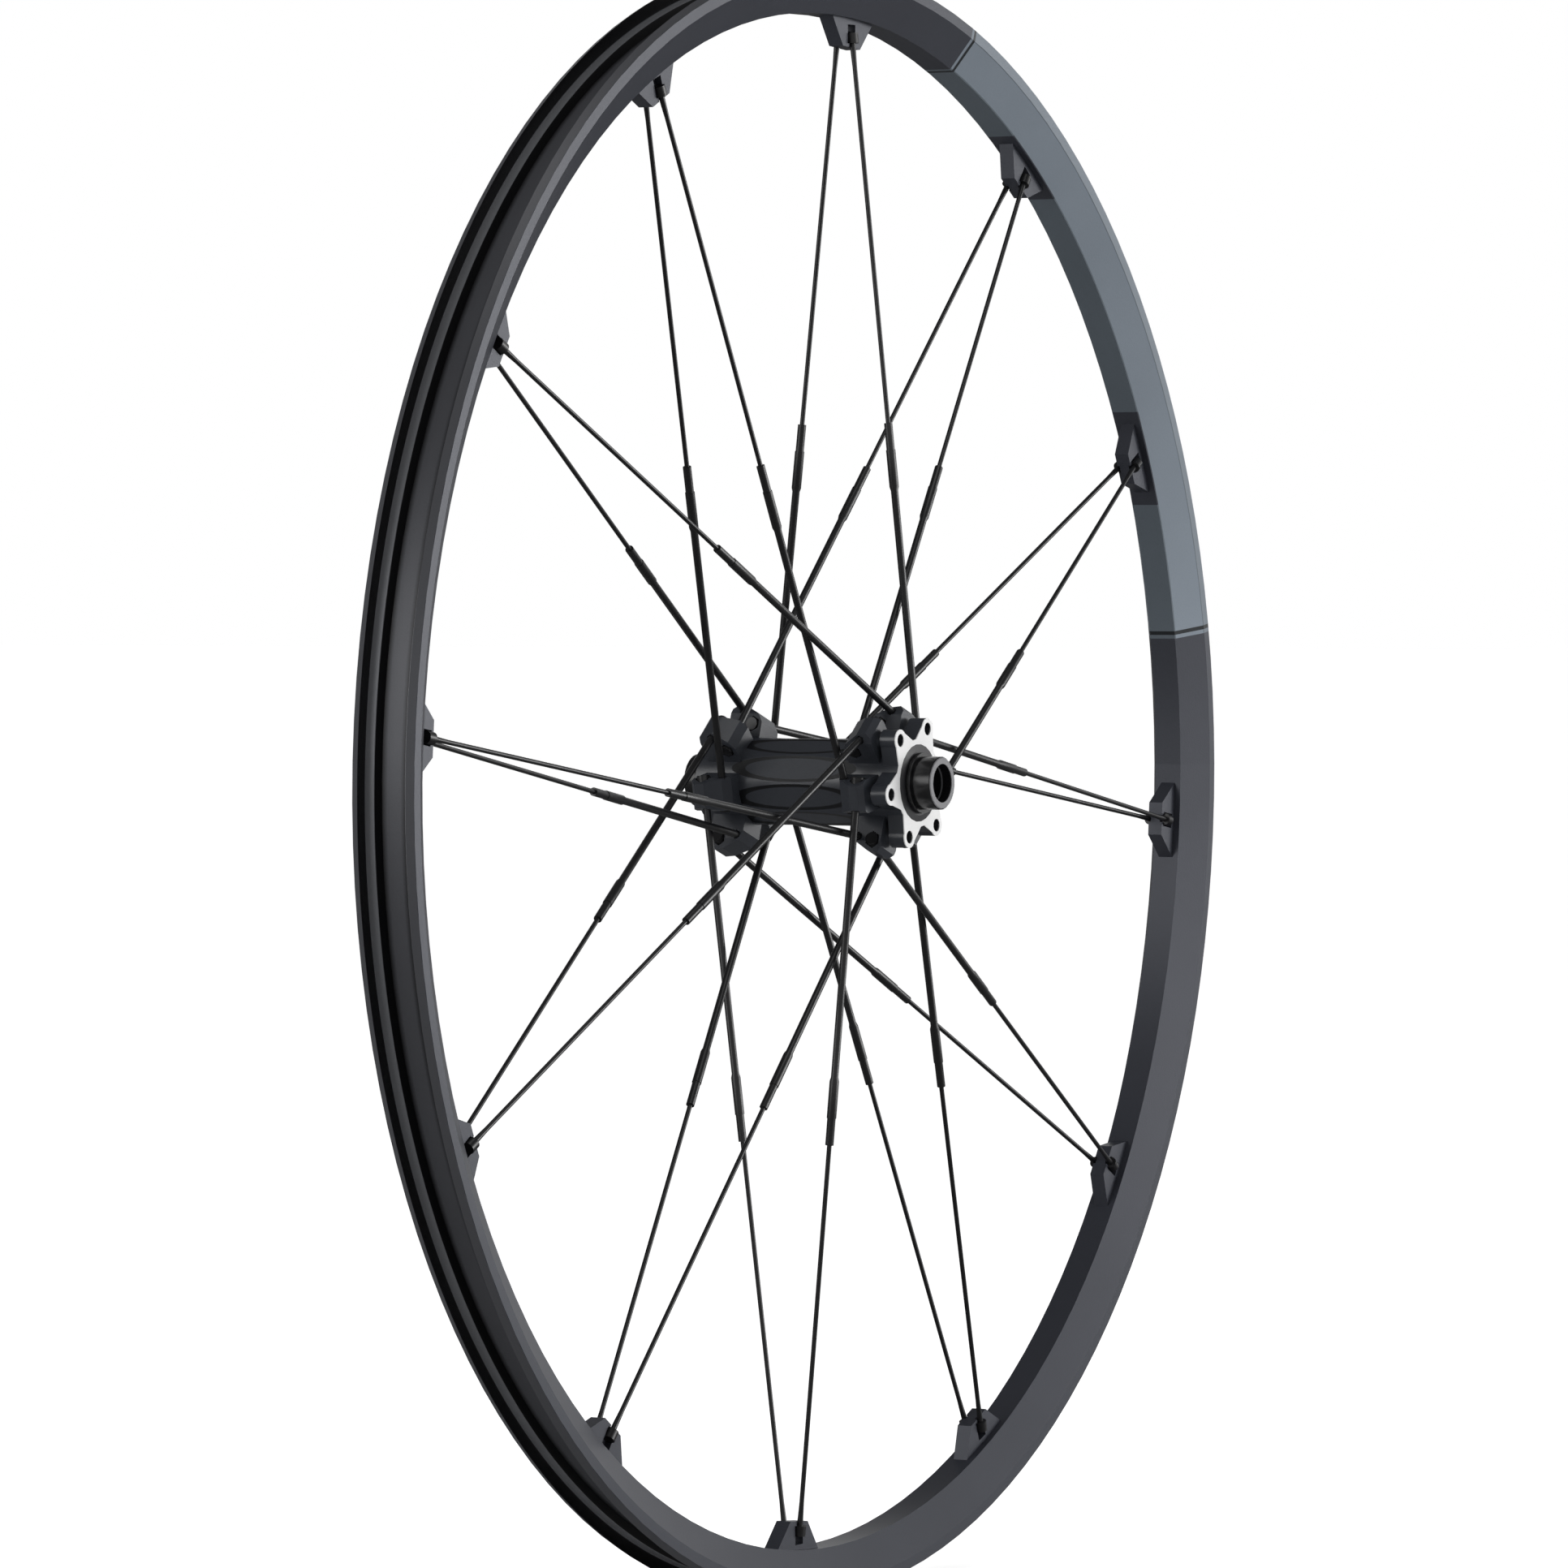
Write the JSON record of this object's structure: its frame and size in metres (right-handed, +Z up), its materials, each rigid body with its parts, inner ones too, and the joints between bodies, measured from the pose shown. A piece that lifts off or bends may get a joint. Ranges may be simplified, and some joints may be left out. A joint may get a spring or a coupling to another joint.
{
  "type": "bicycle front wheel",
  "caption": "Bicycle front wheel without a tyre: shallow dark rim with spoke anchors on its inner face, two-piece straight spokes, and a disc-brake hub with through-axle end caps.",
  "frame": {"origin": "centre of the axle bore, midway between the two end cap faces", "axes": "+Y along the wheel axis away from the brake disc side, +Z up, +X along the wheel plane"},
  "size_m": [0.6329, 0.11, 0.633],
  "materials": {
    "rim_anodised": "satin",
    "spoke_steel": "satin",
    "tube_alloy": "satin",
    "hub_anodised": "satin",
    "axle_alloy": "satin",
    "cap_anodised": "satin",
    "bearing_steel": "polished",
    "cover_plastic": "matte"
  },
  "bodies": {
    "axle": {"axle": "axle_alloy", "left_end_cap": "cap_anodised", "right_end_cap": "cap_anodised", "left_bearing_inner_ring": "bearing_steel", "right_bearing_inner_ring": "bearing_steel"},
    "wheel": {"rim": "rim_anodised", "spoke_left_01": "spoke_steel", "spoke_left_02": "spoke_steel", "spoke_left_03": "spoke_steel", "spoke_left_04": "spoke_steel", "spoke_left_05": "spoke_steel", "spoke_left_06": "spoke_steel", "spoke_left_07": "spoke_steel", "spoke_left_08": "spoke_steel", "spoke_left_09": "spoke_steel", "spoke_left_10": "spoke_steel", "spoke_left_11": "spoke_steel", "spoke_left_12": "spoke_steel", "spoke_right_01": "spoke_steel", "spoke_right_02": "spoke_steel", "spoke_right_03": "spoke_steel", "spoke_right_04": "spoke_steel", "spoke_right_05": "spoke_steel", "spoke_right_06": "spoke_steel", "spoke_right_07": "spoke_steel", "spoke_right_08": "spoke_steel", "spoke_right_09": "spoke_steel", "spoke_right_10": "spoke_steel", "spoke_right_11": "spoke_steel", "spoke_right_12": "spoke_steel", "spoke_tube_left_01": "tube_alloy", "spoke_tube_left_02": "tube_alloy", "spoke_tube_left_03": "tube_alloy", "spoke_tube_left_04": "tube_alloy", "spoke_tube_left_05": "tube_alloy", "spoke_tube_left_06": "tube_alloy", "spoke_tube_left_07": "tube_alloy", "spoke_tube_left_08": "tube_alloy", "spoke_tube_left_09": "tube_alloy", "spoke_tube_left_10": "tube_alloy", "spoke_tube_left_11": "tube_alloy", "spoke_tube_left_12": "tube_alloy", "spoke_tube_right_01": "tube_alloy", "spoke_tube_right_02": "tube_alloy", "spoke_tube_right_03": "tube_alloy", "spoke_tube_right_04": "tube_alloy", "spoke_tube_right_05": "tube_alloy", "spoke_tube_right_06": "tube_alloy", "spoke_tube_right_07": "tube_alloy", "spoke_tube_right_08": "tube_alloy", "spoke_tube_right_09": "tube_alloy", "spoke_tube_right_10": "tube_alloy", "spoke_tube_right_11": "tube_alloy", "spoke_tube_right_12": "tube_alloy", "hub_shell": "hub_anodised", "left_bearing_outer_ring": "bearing_steel", "left_dust_cover": "cover_plastic", "right_bearing_outer_ring": "bearing_steel", "right_dust_cover": "cover_plastic"}
  },
  "joints": [
    {"name": "wheel_spin", "type": "hinge", "parent": "axle", "child": "wheel", "pos_m": [0, 0, 0], "axis": [0, 1, 0], "continuous": true}
  ]
}
